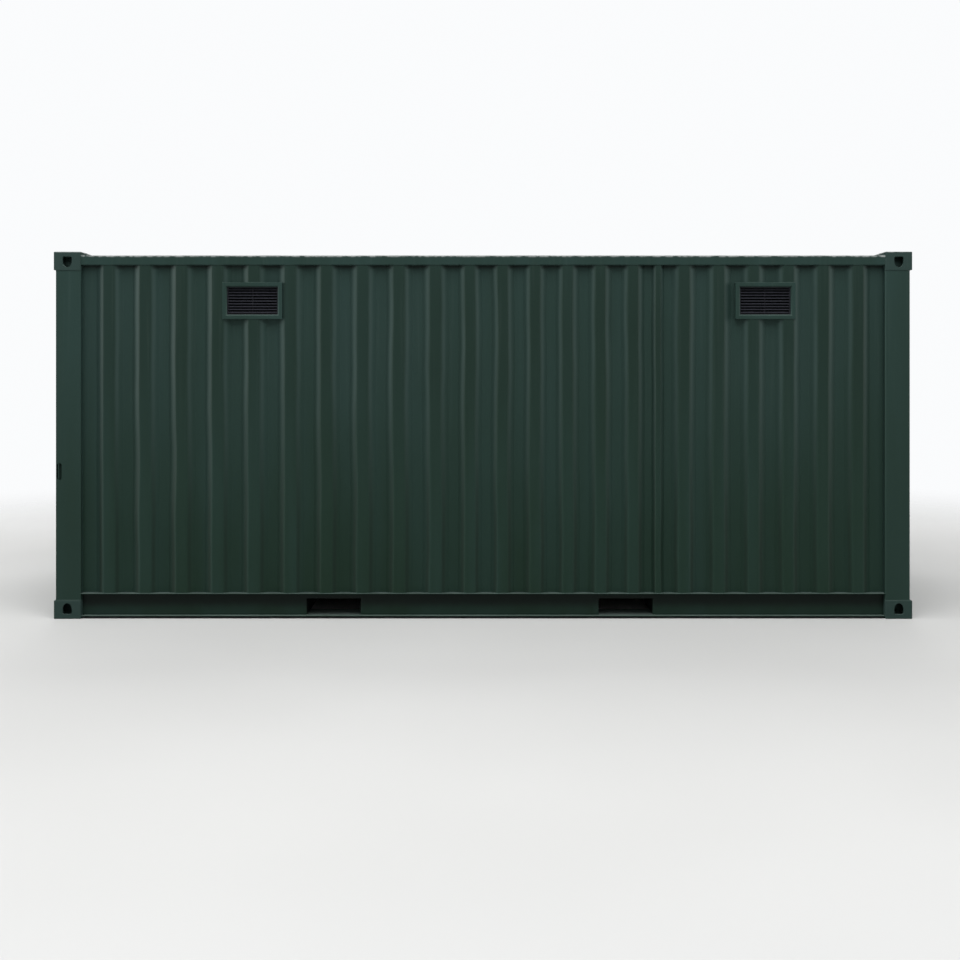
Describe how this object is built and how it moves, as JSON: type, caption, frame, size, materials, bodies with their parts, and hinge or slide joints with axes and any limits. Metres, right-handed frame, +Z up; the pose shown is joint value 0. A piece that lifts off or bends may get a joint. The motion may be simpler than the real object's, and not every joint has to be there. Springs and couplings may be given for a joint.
{
  "type": "storage container garage",
  "caption": "Corrugated steel storage container with louvre vents, corner castings, fork pockets and double doors at one end, used as an equipment garage.",
  "frame": {"origin": "on the ground, at the middle of the plan of the four corner castings", "axes": "+X along the length to the blind front end with the doors at -X, +Z up, and the side that the picture shows faces -Y"},
  "size_m": [6.058, 2.438, 2.591],
  "materials": {
    "green_paint": "satin bluish dark green paint, lightly weathered",
    "casting_paint": "the same green paint on rough cast steel",
    "galvanised_steel": "dull galvanised steel",
    "black_grille": "matt black louvre slats",
    "seal_rubber": "matt black rubber",
    "floor_plywood": "sealed plywood boards"
  },
  "bodies": {
    "root": {"bottom_side_rail_far": "green_paint", "bottom_side_rail_near": "green_paint", "casting_bottom_door_far": "casting_paint", "casting_bottom_door_near": "casting_paint", "casting_bottom_front_far": "casting_paint", "casting_bottom_front_near": "casting_paint", "casting_top_door_far": "casting_paint", "casting_top_door_near": "casting_paint", "casting_top_front_far": "casting_paint", "casting_top_front_near": "casting_paint", "door_gasket_far": "seal_rubber", "door_gasket_near": "seal_rubber", "door_handle_1": "galvanised_steel", "door_handle_2": "galvanised_steel", "door_handle_3": "galvanised_steel", "door_handle_4": "galvanised_steel", "door_header": "green_paint", "door_leaf_far": "green_paint", "door_leaf_near": "green_paint", "door_post_far": "green_paint", "door_post_near": "green_paint", "door_sill": "green_paint", "floor_crossmembers": "green_paint", "floor_deck": "floor_plywood", "fork_pocket_left": "green_paint", "fork_pocket_right": "green_paint", "front_header": "green_paint", "front_post_far": "green_paint", "front_post_near": "green_paint", "front_sill": "green_paint", "front_wall": "green_paint", "handle_catch_1": "green_paint", "handle_catch_2": "green_paint", "handle_catch_3": "green_paint", "handle_catch_4": "green_paint", "locking_bar_1": "galvanised_steel", "locking_bar_2": "galvanised_steel", "locking_bar_3": "galvanised_steel", "locking_bar_4": "galvanised_steel", "roof_panel": "green_paint", "side_wall_far": "green_paint", "side_wall_near": "green_paint", "top_side_rail_far": "green_paint", "top_side_rail_near": "green_paint", "vent_frame_far_left": "green_paint", "vent_frame_far_right": "green_paint", "vent_frame_near_left": "green_paint", "vent_frame_near_right": "green_paint", "vent_grille_far_left": "black_grille", "vent_grille_far_right": "black_grille", "vent_grille_near_left": "black_grille", "vent_grille_near_right": "black_grille"}
  },
  "joints": []
}
